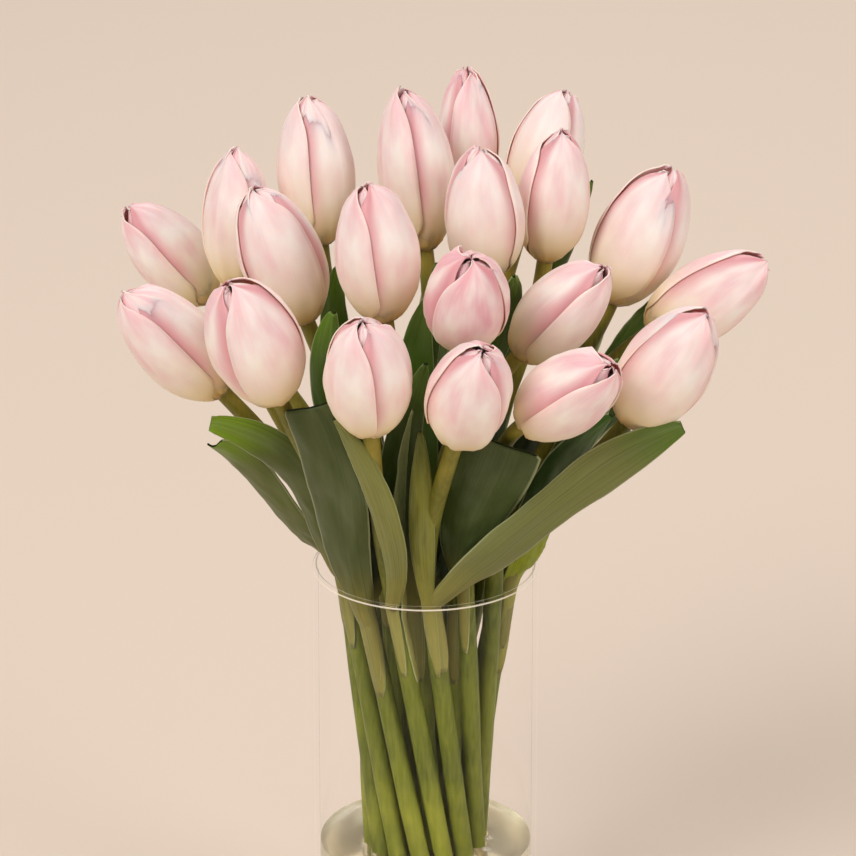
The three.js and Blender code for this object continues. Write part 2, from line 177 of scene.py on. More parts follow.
# neck, tip, width, angle of the first petal, which edge is on top, how open (below 0 is shut
# tighter than usual) and how pink
TULIPS = {
    1: ((-95, 58, 302), (-132, 62, 344), 35, -65, 1, -0.08, 0.9),
    2: ((-87, -34, 294), (-128, -44, 344), 37, -52, 1, -0.12, 0.8),
    3: ((-62, -62, 302), (-82, -80, 360), 41, 42, -1, -0.15, 0.8),
    4: ((-82, 26, 318), (-82, 32, 382), 33, -50, 1, 0, 0.7),
    5: ((-51, -12, 318), (-73, -14, 380), 38, -15, 1, -0.12, 0.6),
    6: ((-46, 44, 333), (-51, 52, 399), 36, -80, 1, -0.05, 0.5),
    7: ((-17, -36, 328), (-25, -40, 391), 38, -77, 1, -0.08, 0.8),
    8: ((0, 34, 334), (-9, 42, 406), 35, -66, 1, -0.08, 0.8),
    9: ((19, 66, 339), (18, 76, 404), 29, 40, -1, -0.05, 0.9),
    10: ((26, 2, 332), (24, 0, 393), 36, 5, -1, -0.12, 0.5),
    11: ((44, 56, 343), (62, 68, 396), 34, -50, 1, -0.05, 0.3),
    12: ((52, 20, 334), (59, 22, 393), 33, 0, 1, -0.12, 0.7),
    13: ((81, 22, 314), (107, 26, 374), 40, -45, 1, -0.05, 0.6),
    14: ((97, 2, 307), (147, -2, 342), 36, -20, 1, 0, 0.8),
    15: ((86, -48, 286), (119, -63, 341), 40, -20, 1, -0.05, 0.7),
    16: ((40, -14, 303), (77, -24, 348), 34, 60, -1, -0.15, 0.7),
    17: ((42, -60, 290), (78, -92, 329), 36, 50, -1, -0.08, 0.9),
    18: ((13, -72, 288), (24, -102, 340), 38, -25, 1, -0.18, 0.8),
    19: ((16, -38, 319), (19, -66, 367), 39, 25, -1, -0.18, 1.2),
    20: ((-23, -74, 292), (-26, -94, 350), 39, -64, 1, -0.2, 0.7),
}
# stem, height where it leaves it, three points of its middle line, width and facing
LEAVES = [
    (4, 204, (-55.8, -3, 215.7), (-74.1, -13, 244.2), (-92.6, -23, 265.3), 27, -140),
    (2, 200, (-45.2, -21.5, 225.5), (-58, -38, 261.1), (-94.9, -46, 285.3), 21, -122),
    (3, 182, (-34.9, -40.5, 222.3), (-39.6, -58.5, 261.7), (-51.3, -72, 304), 28.5, -115),
    (20, 195, (-13.8, -53.5, 226), (-22.1, -69.5, 264.5), (-39.4, -77, 300.5), 13, -105),
    (20, 190, (-10.2, -42, 228.6), (-9.7, -45, 258), (-4.9, -47, 293.5), 10, -25),
    (7, 185, (-11, -26, 230), (-10, -33, 268), (1, -40, 312), 18, -90),
    (18, 195, (-1.1, -48, 221.7), (-1.9, -55, 252.8), (-2.3, -60, 288.2), 11.5, -95),
    (19, 205, (15.8, -40.5, 227.9), (23.5, -50, 254.5), (31.8, -62, 283), 38, -104),
    (18, 197, (34.3, -53.5, 229.8), (70.3, -63.3, 265.3), (111.6, -65, 291.4), 27, -62),
    (15, 195, (49, -8, 226), (63, -8, 252), (82, -8, 274), 20, -60),
    (15, 182, (41.7, -9, 200.1), (47.8, -9, 209.7), (54.3, -7, 219.3), 16, -50),
    (3, 190, (-22.9, -29, 211.1), (-24.5, -35, 235), (-27.3, -43, 261.8), 16, -100),
    (7, 190, (7.7, -22, 205.7), (9, -26, 226.5), (10.2, -31, 252.2), 14, -90),
    (6, 235, (-34, 26, 272), (-40, 22, 304), (-38, 14, 336), 14, -90),
    (5, 205, (-29, -12, 246), (-41, -20, 288), (-39, -26, 330), 23, -110),
    (10, 215, (-2, -8, 260), (-4, -8, 296), (2, -6, 330), 17, -90),
    (8, 250, (1, 20, 290), (3, 16, 314), (5, 11, 338), 11, -90),
    (10, 255, (27, -2, 292), (36, -3, 320), (38, -15, 341), 13, -70),
    (12, 258, (52, 30, 310), (65, 34, 342), (73, 34, 368), 12, -50),
    (14, 225, (66, -3, 260), (76, -9, 282), (85, -12, 302), 17, -70),
    (14, 240, (80, 13, 285), (96, 18, 307), (111, 22, 326), 13, -60),
    (16, 180, (21, -6, 226), (26, -5, 254), (36, 2, 282), 18, -90),
    (8, 190, (5, 14, 222), (9, 14, 250), (15, 16, 285), 21, -90),
    (12, 190, (36, 11, 230), (47, 12, 258), (62, 12, 285), 18, -70),
    (14, 175, (58, 22, 226), (76, 28, 250), (96, 34, 268), 19, 20),
    (13, 180, (48, 40, 236), (62, 48, 266), (80, 58, 288), 21, 45),
    (11, 180, (28, 54, 240), (36, 66, 272), (42, 82, 298), 21, 65),
    (9, 185, (3, 56, 240), (4, 70, 275), (2, 88, 304), 21, 92),
    (6, 180, (-28, 52, 238), (-36, 64, 270), (-46, 80, 296), 21, 118),
    (1, 178, (-50, 42, 230), (-66, 58, 256), (-84, 76, 276), 19, 140),
]
# fold, wave, turn, the part of the outline that it takes (0 and 1 are points) and how much narrower
# it is halfway: a usual leaf's, and those of the leaves that differ
USUAL_HABIT = (0.3, 0.5, 0, 0.1, 1, 0)
HABITS = {
    0: (0.25, 1, 5, 0.1, 0.9, 0), 1: (0.3, 0.8, 25, 0.1, 0.95, 0), 2: (0.2, 0.5, 5, 0.1, 0.74, 0),
    4: (0.3, 0, 0, 0.1, 1, 0), 6: (0.3, 0.3, 0, 0.1, 1, 0), 7: (0.1, 0.5, 0, 0.02, 0.5, 0),
    8: (0.2, 1.2, -20, 0.1, 0.98, 0.33), 16: (0.4, 0, 0, 0.1, 1, 0), 17: (0.2, 0, 0, 0.1, 1, 0),
    18: (0.5, 0.5, 0, 0.1, 1, 0), 20: (0.4, 0.5, 0, 0.1, 1, 0), 22: (0.1, 0, 0, 0.1, 1, 0),
    **{i: (0.3, 1, 0, 0.1, 1, 0) for i in range(24, 30)},
}


# %% Middle lines
def unit(v):
    return v / np.linalg.norm(v)


def plan(angle):
    return np.array([math.cos(math.radians(angle)), math.sin(math.radians(angle)), 0])


def bezier(points, t):
    a, b, c, d = points
    return a * (1 - t) ** 3 + 3 * b * t * (1 - t) ** 2 + 3 * c * t * t * (1 - t) + d * t**3


def stem_point(number, height):
    """The stem's middle line: straight from the floor to the rim, then a curve to the neck."""
    radius, first, order = next(ring for ring in RINGS if number in ring[2])
    unwound = math.degrees(math.atan(SPIRAL * (VASE_HEIGHT - WAIST)))
    seat = radius * plan(first + 360 * order.index(number) / len(order) + unwound)
    lean = np.array([SPIRAL * seat[1], -SPIRAL * seat[0], 1])
    seat[2] = WAIST
    if height <= VASE_HEIGHT:
        return seat + lean * (height - WAIST)
    neck, tip = (np.array(p, float) for p in TULIPS[number][:2])
    rim, rise = seat + lean * (VASE_HEIGHT - WAIST), neck[2] - VASE_HEIGHT
    high = neck - unit(tip - neck) * NECK_PULL * rise / 3
    return bezier((rim, rim + lean * rise / 3, high, neck), (height - VASE_HEIGHT) / rise)


def through_four(a, b, c, d, t):
    """The curve that passes a, b, c and d at 0, a third, two thirds and 1."""
    low, high = (-5 * a + 18 * b - 9 * c + 2 * d) / 6, (-5 * d + 18 * c - 9 * b + 2 * a) / 6
    return bezier((a, low, high, d), t)


print("stem 10 meets the rim at", stem_point(10, VASE_HEIGHT).round(1))

# %% [markdown]
# ## Growing pieces with Geometry Nodes
# Stems, leaves and petals all follow rules, so each kind is one node tree with named sizes, and
# each plant only sets the sizes. The guide that a tree grows along is a mesh of bare edges, whose
# points carry numbers of their own such as how far along they are. A small helper runs a tree on a
# guide and takes the result as a plain mesh, because an exported model can't hold node trees.


# %% Trees and guides
def new_tree(name, sizes):
    """A tree with one geometry going in and out, and a named input for each size."""
    tree = bpy.data.node_groups.new(name, "GeometryNodeTree")
    tree.interface.new_socket("Geometry", in_out="INPUT", socket_type="NodeSocketGeometry")
    tree.interface.new_socket("Geometry", in_out="OUTPUT", socket_type="NodeSocketGeometry")
    kinds = {int: "NodeSocketInt", float: "NodeSocketFloat", tuple: "NodeSocketVector"}
    for label, value in sizes.items():
        socket = tree.interface.new_socket(label, in_out="INPUT", socket_type=kinds[type(value)])
        socket.default_value = value
    return tree, add(tree, "NodeGroupInput").outputs


def mark(mesh, name, kind, values):
    """Stores a number (FLOAT) or a direction (FLOAT_VECTOR) on every point of a mesh."""
    layer = mesh.attributes.new(name, kind, "POINT")
    flat = np.concatenate(values).astype(np.float32).ravel()
    layer.data.foreach_set("value" if kind == "FLOAT" else "vector", flat)


def guide_mesh(lines, numbers):
    """Bare edges through lines of points in millimetres, with named numbers at each point."""
    mesh = bpy.data.meshes.new("guide")
    points = np.concatenate(lines) * MM
    starts = np.cumsum([0] + [len(line) for line in lines])
    edges = [(i, i + 1) for a, b in zip(starts, starts[1:]) for i in range(a, b - 1)]
    mesh.from_pydata(points.tolist(), edges, [])
    for name, values in numbers.items():
        mark(mesh, name, "FLOAT", values)
    return mesh


def grow(name, tree, guide, wall=0.0, **sizes):
    """Runs a tree on a guide, thickens the result to a wall in millimetres, and keeps the mesh."""
    carrier = place_mesh(name, guide)
    nodes = carrier.modifiers.new("grow", "NODES")
    nodes.node_group = tree
    for item in tree.interface.items_tree:
        if item.in_out == "INPUT" and item.name in sizes:
            nodes[item.identifier] = sizes[item.name]
    if wall:
        thicken = carrier.modifiers.new("thicken", "SOLIDIFY")
        thicken.thickness, thicken.offset = wall * MM, 0
    evaluated = carrier.evaluated_get(bpy.context.evaluated_depsgraph_get())
    mesh = bpy.data.meshes.new_from_object(evaluated)
    bpy.data.objects.remove(carrier)
    mesh.name = name
    return place_mesh(name, mesh)


# %% Kinds of node that come back often
MATH, VECTOR = "ShaderNodeMath", "ShaderNodeVectorMath"
RANGE, MIX = "ShaderNodeMapRange", "ShaderNodeMix"
NOISE, SPLIT, JOIN = "ShaderNodeTexNoise", "ShaderNodeSeparateXYZ", "ShaderNodeCombineXYZ"
NAMED, STORE = "GeometryNodeInputNamedAttribute", "GeometryNodeStoreNamedAttribute"
ATTRIBUTE, RANDOM = "ShaderNodeAttribute", "FunctionNodeRandomValue"
SMOOTH = {"interpolation_type": "SMOOTHSTEP"}


def set_stops(ramp, stops):
    """Gives a colour ramp its colours, each at its place between 0 and 1."""
    while len(ramp.elements) < len(stops):
        ramp.elements.new(0.5)
    for element, (place, colour) in zip(ramp.elements, stops):
        element.position, element.color = place, linear(colour)


def end_tree(tree, geometry, material):
    """How every tree ends: smooth faces, real geometry in place of instances, and its material."""
    geometry = add(tree, "GeometryNodeSetShadeSmooth", [geometry])
    geometry = add(tree, "GeometryNodeRealizeInstances", [geometry])
    geometry = add(tree, "GeometryNodeSetMaterial", {"Geometry": geometry, "Material": material})
    add(tree, "NodeGroupOutput", [geometry])
    print(tree.name, "tree:", len(tree.nodes), "nodes")


# %% [markdown]
# ## Petals: their colour
# A petal of a blush tulip is thin, waxy and full of water, so light goes through it and comes out
# soft. Its colour is a faint rose laid over ivory, cloudy up the middle, with a little green at the
# root. Painted light lies over that colour: painted shade deepens the rose where a petal goes under
# its neighbour and darkens the root further, and a thin cream painted highlight runs along the edge
# that lies on top. Fine veins run lengthwise. The tree leaves numbers on every point, such as how
# far along the petal it is and how far across, and the material paints with them, so the pattern
# follows each petal wherever it bends.

# %% Petal tissue: wax over wet cells, so a soft gloss on a surface that glows a little from inside
petal_tissue, shader, waxy = new_material(
    "petal_tissue_waxy",
    {
        "Roughness": 0.42,
        "IOR": 1.4,
        "Specular IOR Level": 0.35,
        "Subsurface Weight": 0.4,
        "Subsurface Radius": (1.0, 0.5, 0.35),
        "Subsurface Scale": 2.0 * MM,
        "Sheen Weight": 0.2,
        "Sheen Tint": linear("#FFF0DC"),
    },
)
along, across, blush, which, over = (
    add(shader, ATTRIBUTE, attribute_name=name).outputs["Fac"]
    for name in ("along", "across", "blush", "petal", "over")
)
# streaks: about 40 veins across a 40 mm petal, each drawn out along it
spot = add(shader, JOIN, [across, along, which])
drawn_out = add(shader, VECTOR, [spot, (9.0, 0.9, 5.3)], "MULTIPLY")
streaks = add(shader, NOISE, {"Vector": drawn_out, "Scale": 2.2, "Detail": 4.0}).outputs["Fac"]
drawn_out = add(shader, VECTOR, [spot, (1.1, 1.6, 3.7)], "MULTIPLY")
clouds = add(shader, NOISE, {"Vector": drawn_out, "Scale": 1.6, "Detail": 2.0}).outputs["Fac"]
painted = add(shader, "ShaderNodeValToRGB", [along])
# ivory, darker and browner towards the root: partly the root's own green-yellow, partly painted
# shade on the bloom's lower part
ivory_and_root_shade = [
    (0.0, "#A08434"), (0.05, "#D2B06A"), (0.15, "#EDD3A8"),
    (0.34, "#F8E4D0"), (0.65, "#FAEAE3"), (1.0, "#F8E3E1"),
]
set_stops(painted.color_ramp, ivory_and_root_shade)
# rose: none at the root and a soft cloudy flush up the middle; painted shade adds a deeper rose
# where the petal goes under its neighbour, and a painted highlight puts a thin cream line on the
# edge that lies on top
flush = add(shader, RANGE, [along, 0.14, 0.6, 0.0, 0.72], **SMOOTH)
cloudy = add(shader, RANGE, [clouds, 0.33, 0.62, 0.1, 1.25])
flush = add(shader, MATH, [flush, cloudy], "MULTIPLY")
streaky = add(shader, RANGE, [streaks, 0.3, 0.7, 0.88, 1.12])
flush = add(shader, MATH, [flush, streaky], "MULTIPLY")
flush = add(shader, MATH, [flush, blush], "MULTIPLY", use_clamp=True)
by_height = add(shader, RANGE, [along, 0.1, 0.45, 0.15, 0.75], **SMOOTH)
# painted shade: a deeper rose where the petal goes under its neighbour, more of it higher up
painted_seam_shade = add(shader, RANGE, [over, -0.25, -0.66, 0.0, 1.0], **SMOOTH)
painted_seam_shade = add(shader, MATH, [painted_seam_shade, by_height], "MULTIPLY")
# painted highlight: a thin cream line along the edge that lies on top, for the glow of light
# through the petal's rim
hem = add(shader, RANGE, [over, 0.96, 0.99, 0.0, 0.4])
for factor, colour in ((flush, "#E8AFB8"), (painted_seam_shade, "#D48A93"), (hem, "#F8ECD8")):
    coat = {"Factor": factor, "A": painted, "B": linear(colour)}
    painted = add(shader, MIX, coat, data_type="RGBA").outputs[2]
shader.links.new(painted, waxy.inputs["Base Color"])
relief = add(shader, "ShaderNodeBump", {"Height": streaks, "Strength": 0.08, "Distance": 0.3 * MM})
shader.links.new(relief.outputs["Normal"], waxy.inputs["Normal"])
print("petal tissue:", len(shader.nodes), "nodes")

# %% [markdown]
# ## Petals: their shape
# A tulip has six petals in two whorls of three, wrapped round one another like the staves of a
# barrel: each outer one has one edge over its neighbour and one edge under. One flat
# grid is enough for all of them. The tree copies it onto six points, gives each copy its angle
# and small differences, and then wraps every point round the bloom's axis at a radius taken from
# the outline of the bud. A sculpted mesh would give one good petal; this rule gives a
# hundred and twenty that all fit.

# %% Bloom tree
BLOOM_SIZES = {
    "Neck": (0.0, 0.0, 0.3),
    "Tip": (0.0, 0.0, 0.36),
    "Width": 38 * MM,
    "First petal": 0.0,
    "Top edge": 1.0,
    "Open": 0.0,
    "Blush": 1.0,
    "Across": 21,
    "Along": 37,
    "Seed": 1,
}
# how much one petal differs from the next: its turn in radians, its height as a share of the
# bloom's, how far its tip leans and how far its upper edge rolls, in metres
TURNS, HEIGHTS = (-0.07, 0.07), (0.975, 1.025)
LEANS, ROLLS = (-0.6 * MM, 0.6 * MM), (-0.4 * MM, 1.2 * MM)
bloom_tree, size = new_tree("tulip bloom", BLOOM_SIZES)
tree = bloom_tree
sheet = add(tree, "GeometryNodeMeshGrid", [2.0, 1.0, size["Across"], size["Along"]])
place = add(tree, "GeometryNodeInputPosition")
xyz = add(tree, SPLIT, [place]).outputs
# the grid runs from -0.5 to 0.5 along Y; its rows are drawn together towards the tip, where the
# outline turns fastest
left = add(tree, MATH, [0.5, xyz["Y"]], "SUBTRACT")
left = add(tree, MATH, [left, 1.5], "POWER", use_clamp=True)
rising = add(tree, MATH, [1.0, left], "SUBTRACT")
marked = add(tree, STORE, {"Geometry": sheet, "Name": "along", "Value": rising})
marked = add(tree, STORE, {"Geometry": marked, "Name": "across", "Value": xyz["X"]})
six = add(tree, "GeometryNodePoints", {"Count": 6})
number = add(tree, "GeometryNodeInputIndex")
# petals 0 to 2 are the outer whorl, 3 to 5 the inner one, turned by half a step
inner = add(tree, MATH, [number, 2.5], "GREATER_THAN")
third = add(tree, MATH, [number, math.radians(120)], "MULTIPLY")
between = add(tree, MATH, [inner, math.radians(60), third], "MULTIPLY_ADD")
picks = []
for offset, (least, most) in zip((0.0, 50.0, 100.0, 150.0), (TURNS, HEIGHTS, LEANS, ROLLS)):
    seed = size["Seed"]
    if offset:
        seed = add(tree, MATH, [seed, offset], "ADD")
    picks.append(add(tree, RANDOM, {"Min": least, "Max": most, "ID": number, "Seed": seed}))
jitter, tall, lean, roll = picks
angle = add(tree, MATH, [between, jitter], "ADD")
angle = add(tree, MATH, [angle, size["First petal"]], "ADD")
own = {"turned": angle, "inner": inner, "tall": tall, "lean": lean, "roll": roll, "petal": number}
for name, value in own.items():
    six = add(tree, STORE, {"Geometry": six, "Name": name, "Value": value})
petals = add(tree, "GeometryNodeInstanceOnPoints", {"Points": six, "Instance": marked})
petals = add(tree, "GeometryNodeRealizeInstances", [petals])

# %% Bloom tree: the outline of the bud and of a petal
SMALLEST = 1.4 * MM  # radius where the tips meet
INSET = (-0.3 * MM, -2.0 * MM)  # the inner whorl's, at the root and higher up
HALF_ANGLE, INNER_NARROWER = math.radians(73), math.radians(-12)
EDGE = 0.35 * MM  # half the width of a petal's very tip
t, s, turned, inner, tall, lean, roll, which = (
    add(tree, NAMED, {"Name": name}).outputs["Attribute"]
    for name in ("along", "across", "turned", "inner", "tall", "lean", "roll", "petal")
)
# the outline of the bud from the side: sin(pi (0.035 + 0.91 t^0.87))^0.62
swell = add(tree, MATH, [t, 0.87], "POWER")
swell = add(tree, MATH, [swell, 0.91 * math.pi, 0.035 * math.pi], "MULTIPLY_ADD")
swell = add(tree, MATH, [swell], "SINE")
swell = add(tree, MATH, [swell, 0.62], "POWER")
cubed = add(tree, MATH, [t, 3.0], "POWER")
# the tips close like a dome: sqrt(1 - k x^3) over the top fifth, with less k on a more open bloom
closing = add(tree, MATH, [size["Open"], -1.8, 0.65], "MULTIPLY_ADD")
closing = add(tree, MATH, [closing, 0.93], "MINIMUM")
dome = add(tree, RANGE, [t, 0.8, 1.0, 0.0, 1.0])
dome = add(tree, MATH, [dome, 3.0], "POWER")
dome = add(tree, MATH, [dome, closing], "MULTIPLY")
dome = add(tree, MATH, [1.0, dome], "SUBTRACT")
dome = add(tree, MATH, [dome], "SQRT")
swell = add(tree, MATH, [swell, dome], "MULTIPLY")
fullest = add(tree, MATH, [size["Width"], 0.5, -1.3 * MM], "MULTIPLY_ADD")
radius = add(tree, MATH, [fullest, swell], "MULTIPLY")
inset = add(tree, RANGE, [t, 0.0, 0.3, *INSET], **SMOOTH)
radius = add(tree, MATH, [inner, inset, radius], "MULTIPLY_ADD")
radius = add(tree, MATH, [radius, SMALLEST], "MAXIMUM")
# a petal's own outline: half as wide at its root, and drawn in from the middle to a rounded tip
root = add(tree, RANGE, [t, 0.0, 0.2, 0.45, 1.0], **SMOOTH)
drawn = add(tree, RANGE, [t, 0.6, 1.0, 0.0, 1.0])
drawn = add(tree, MATH, [drawn, 4.0], "POWER")
drawn = add(tree, MATH, [1.0, drawn], "SUBTRACT")
drawn = add(tree, MATH, [drawn, 0.55], "POWER")
widest = add(tree, MATH, [inner, INNER_NARROWER, HALF_ANGLE], "MULTIPLY_ADD")
half = add(tree, MATH, [widest, root], "MULTIPLY")
half = add(tree, MATH, [half, drawn], "MULTIPLY")
narrowest = add(tree, MATH, [EDGE, radius], "DIVIDE")
half = add(tree, MATH, [half, narrowest], "MAXIMUM")
angle = add(tree, MATH, [s, half, turned], "MULTIPLY_ADD")

# %% Bloom tree: how far each point stands from the axis
LAP, CREASE, DENTS, FLUTES = 0.6 * MM, -0.35 * MM, 3.4 * MM, 0.8 * MM
CREASE_WIDTH = 0.13  # as a share of half the petal
# one edge stands out over its neighbour and the other lies under it
over = add(tree, MATH, [s, size["Top edge"]], "MULTIPLY")
flat = add(tree, MATH, [over, over], "MULTIPLY")
flat = add(tree, MATH, [flat, -0.5, 1.5], "MULTIPLY_ADD")
lapped = add(tree, MATH, [over, flat], "MULTIPLY")
lap = add(tree, MATH, [root, LAP], "MULTIPLY")
reach = add(tree, MATH, [lapped, lap, radius], "MULTIPLY_ADD")
# the tip leans a little in or out, and the upper edge that lies on top rolls
reach = add(tree, MATH, [cubed, lean, reach], "MULTIPLY_ADD")
rolled = add(tree, MATH, [over, 0.0], "MAXIMUM")
rolled = add(tree, MATH, [rolled, 5.0], "POWER")
rolled = add(tree, MATH, [rolled, cubed], "MULTIPLY")
reach = add(tree, MATH, [rolled, roll, reach], "MULTIPLY_ADD")
# a shallow crease down the middle
crease = add(tree, MATH, [s, CREASE_WIDTH], "DIVIDE")
crease = add(tree, MATH, [crease, 2.0], "POWER")
crease = add(tree, MATH, [crease, -1.0], "MULTIPLY")
crease = add(tree, MATH, [crease], "EXPONENT")
reach = add(tree, MATH, [crease, CREASE, reach], "MULTIPLY_ADD")
# soft dents all round the bloom, then shallow flutes along each petal
cosine = add(tree, MATH, [angle], "COSINE")
sine = add(tree, MATH, [angle], "SINE")
for place, stretch, scale, detail, depth in (
    ((cosine, sine, t), (1.5, 1.5, 1.1), 1.5, 2.0, DENTS),
    ((s, t, which), (4.5, 0.8, 7.7), 1.0, 1.0, FLUTES),
):
    spot = add(tree, JOIN, place)
    spot = add(tree, VECTOR, [spot, stretch], "MULTIPLY")
    spot = add(tree, VECTOR, [spot, size["Seed"]], "ADD")
    dents = add(tree, NOISE, {"Vector": spot, "Scale": scale, "Detail": detail})
    dents = add(tree, MATH, [dents, 0.5], "SUBTRACT")
    reach = add(tree, MATH, [dents, depth, reach], "MULTIPLY_ADD")

# %% Bloom tree: onto the axis from neck to tip; front is the side of the bloom that faces -Y
axis = add(tree, VECTOR, [size["Tip"], size["Neck"]], "SUBTRACT")
length = add(tree, VECTOR, [axis], "LENGTH").outputs["Value"]
axis = add(tree, VECTOR, [axis], "NORMALIZE")
facing = add(tree, VECTOR, [axis, (0, -1, 0)], "DOT_PRODUCT").outputs["Value"]
front = add(tree, VECTOR, {0: axis, "Scale": facing}, "SCALE")
front = add(tree, VECTOR, [(0, -1, 0), front], "SUBTRACT")
front = add(tree, VECTOR, [front], "NORMALIZE")
right = add(tree, VECTOR, [axis, front], "CROSS_PRODUCT")
length = add(tree, MATH, [length, tall], "MULTIPLY")
height = add(tree, RANGE, [t, 0.0, 1.0, 1.0 * MM, length])
ahead = add(tree, MATH, [cosine, reach], "MULTIPLY")
aside = add(tree, MATH, [sine, reach], "MULTIPLY")
point = add(tree, VECTOR, {0: axis, "Scale": height}, "SCALE")
point = add(tree, VECTOR, [point, size["Neck"]], "ADD")
for direction, distance in ((front, ahead), (right, aside)):
    sideways = add(tree, VECTOR, {0: direction, "Scale": distance}, "SCALE")
    point = add(tree, VECTOR, [point, sideways], "ADD")
petals = add(tree, "GeometryNodeSetPosition", {"Geometry": petals, "Position": point})
for name, value in {"blush": size["Blush"], "over": over}.items():
    petals = add(tree, STORE, {"Geometry": petals, "Name": name, "Value": value})
end_tree(tree, petals, petal_tissue)

# %% Twenty blooms
PETAL_WALL = 0.55  # millimetres
for number, (neck, tip, width, turn, top, opened, pink) in TULIPS.items():
    bloom = grow(
        f"petals_{number:02d}",
        bloom_tree,
        bpy.data.meshes.new("empty"),
        wall=PETAL_WALL,
        **{
            "Neck": [v * MM for v in neck],
            "Tip": [v * MM for v in tip],
            "Width": width * MM,
            "First petal": math.radians(turn),
            "Top edge": float(top),
            "Open": float(opened),
            "Blush": float(pink),
            "Seed": number,
        },
    )
    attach(bloom, "root")
    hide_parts(f"bloom_{number:02d}")
print("a bloom has", len(bloom.data.polygons), "faces")

# %% [markdown]
# ## Stems and leaves: their colour
# A cut tulip's stem is smooth, round and juicy, khaki near the bloom and fresher in the vase; the
# dark green in the upper part of the vase, towards the rim, is partly its own colour and partly
# painted shade. Its leaves are olive to dark green and matte, because a thin wax bloom covers them,
# with fine parallel veins, a paler edge, a khaki foot where they clasp the stem and a greener tip.
# Each leaf carries its own greens, because leaves of one bunch differ in age; the leaves that fill
# dark gaps in the bunch are painted near black-green, as painted shade.

# %% Stem skin: tight and juicy, so it keeps a soft narrow gloss
STEM_TOP = 0.34  # metres: the highest neck
stem_skin, shader, surface = new_material(
    "tulip_stem_skin",
    {
        "Roughness": 0.42,
        "IOR": 1.42,
        "Specular IOR Level": 0.35,
        "Subsurface Weight": 0.15,
        "Subsurface Radius": (0.8, 1.0, 0.3),
        "Subsurface Scale": 1.5 * MM,
    },
)
spot = add(shader, "ShaderNodeTexCoord").outputs["Object"]
height = add(shader, SPLIT, [spot]).outputs["Z"]
drawn_out = add(shader, VECTOR, [spot, (1.0, 1.0, 0.12)], "MULTIPLY")
# fibres about 1.4 mm wide, coarser than real ones so that they show, and patches 33 mm across
fibres = add(shader, NOISE, {"Vector": drawn_out, "Scale": 700.0, "Detail": 3.0}).outputs["Fac"]
patches = add(shader, NOISE, {"Vector": spot, "Scale": 30.0, "Detail": 3.0}).outputs["Fac"]
height = add(shader, RANGE, [height, 0.0, STEM_TOP, 0.0, 1.0])
painted = add(shader, "ShaderNodeValToRGB", [height])
# the stem's greens by height: khaki towards the neck, and darker in the upper part of the vase,
# partly its own colour and partly painted shade under the leaves
stem_greens_and_shade = [
    (0.0, "#8C8C34"), (0.2, "#868A2A"), (0.36, "#646C12"), (0.56, "#525A0E"),
    (0.7, "#7A7424"), (0.85, "#94862E"), (1.0, "#A08E3E"),
]
set_stops(painted.color_ramp, stem_greens_and_shade)
shade = add(shader, RANGE, [patches, 0.38, 0.6, 0.0, 0.75])
thread = add(shader, RANGE, [fibres, 0.35, 0.65, 0.0, 0.14])
for factor, colour in ((shade, "#3E4A0C"), (thread, "#B4B25C")):
    coat = {"Factor": factor, "A": painted, "B": linear(colour)}
    painted = add(shader, MIX, coat, data_type="RGBA").outputs[2]
shader.links.new(painted, surface.inputs["Base Color"])
print("stem skin:", len(shader.nodes), "nodes")

# %% Leaf skin: wax dust on a smooth leaf, so a broad dull gloss and veins that just catch light
leaf_skin, shader, surface = new_material(
    "tulip_leaf_wax_bloom",
    {
        "Roughness": 0.5,
        "IOR": 1.42,
        "Specular IOR Level": 0.35,
        "Subsurface Weight": 0.05,
        "Subsurface Scale": 1.0 * MM,
        "Sheen Weight": 0.05,
    },
)
along, across, which, blade_colour, tip_colour = (
    add(shader, ATTRIBUTE, attribute_name=name).outputs["Color" if "colour" in name else "Fac"]
    for name in ("along", "across", "leaf", "blade_colour", "tip_colour")
)
edge = add(shader, MATH, [across], "ABSOLUTE")
# about 55 veins across a leaf, some half a millimetre apart, each drawn out along it
spot = add(shader, JOIN, [across, along, which])
drawn_out = add(shader, VECTOR, [spot, (14.0, 0.7, 9.1)], "MULTIPLY")
veins = add(shader, NOISE, {"Vector": drawn_out, "Scale": 2.0, "Detail": 4.0}).outputs["Fac"]
drawn_out = add(shader, VECTOR, [spot, (0.8, 2.2, 3.3)], "MULTIPLY")
clouds = add(shader, NOISE, {"Vector": drawn_out, "Scale": 1.8, "Detail": 2.0}).outputs["Fac"]
foot = add(shader, RANGE, [along, 0.0, 0.32, 0.75, 0.0], **SMOOTH)
towards_tip = add(shader, RANGE, [along, 0.72, 0.95, 0.0, 1.0], **SMOOTH)
dusty = add(shader, RANGE, [clouds, 0.4, 0.7, 0.0, 0.2])
lined = add(shader, RANGE, [veins, 0.42, 0.65, 0.0, 0.35])
pale = add(shader, RANGE, [edge, 0.93, 0.98, 0.0, 0.55])
painted = blade_colour
for factor, colour in (
    (foot, linear("#8A7F36")), (towards_tip, tip_colour), (dusty, linear("#7F8A68")),
    (lined, linear("#2C3A1A")), (pale, linear("#B4BC8C")),
):
    coat = {"Factor": factor, "A": painted, "B": colour}
    painted = add(shader, MIX, coat, data_type="RGBA").outputs[2]
shader.links.new(painted, surface.inputs["Base Color"])
relief = add(shader, "ShaderNodeBump", {"Height": veins, "Strength": 0.3, "Distance": 0.4 * MM})
shader.links.new(relief.outputs["Normal"], surface.inputs["Normal"])
print("leaf skin:", len(shader.nodes), "nodes")

# %% [markdown]
# ## Stems and leaves: their shape
# A stem is a round bar swept along its middle line, a little uneven, and thinner at the neck.
# A leaf is a strip swept along its own line. It clasps the stem at its foot like a sleeve, which
# runs some way down the stem, opens out to a shallow trough, and its edges wave. Both trees end in
# plain faces that are joined into one piece for each plant.

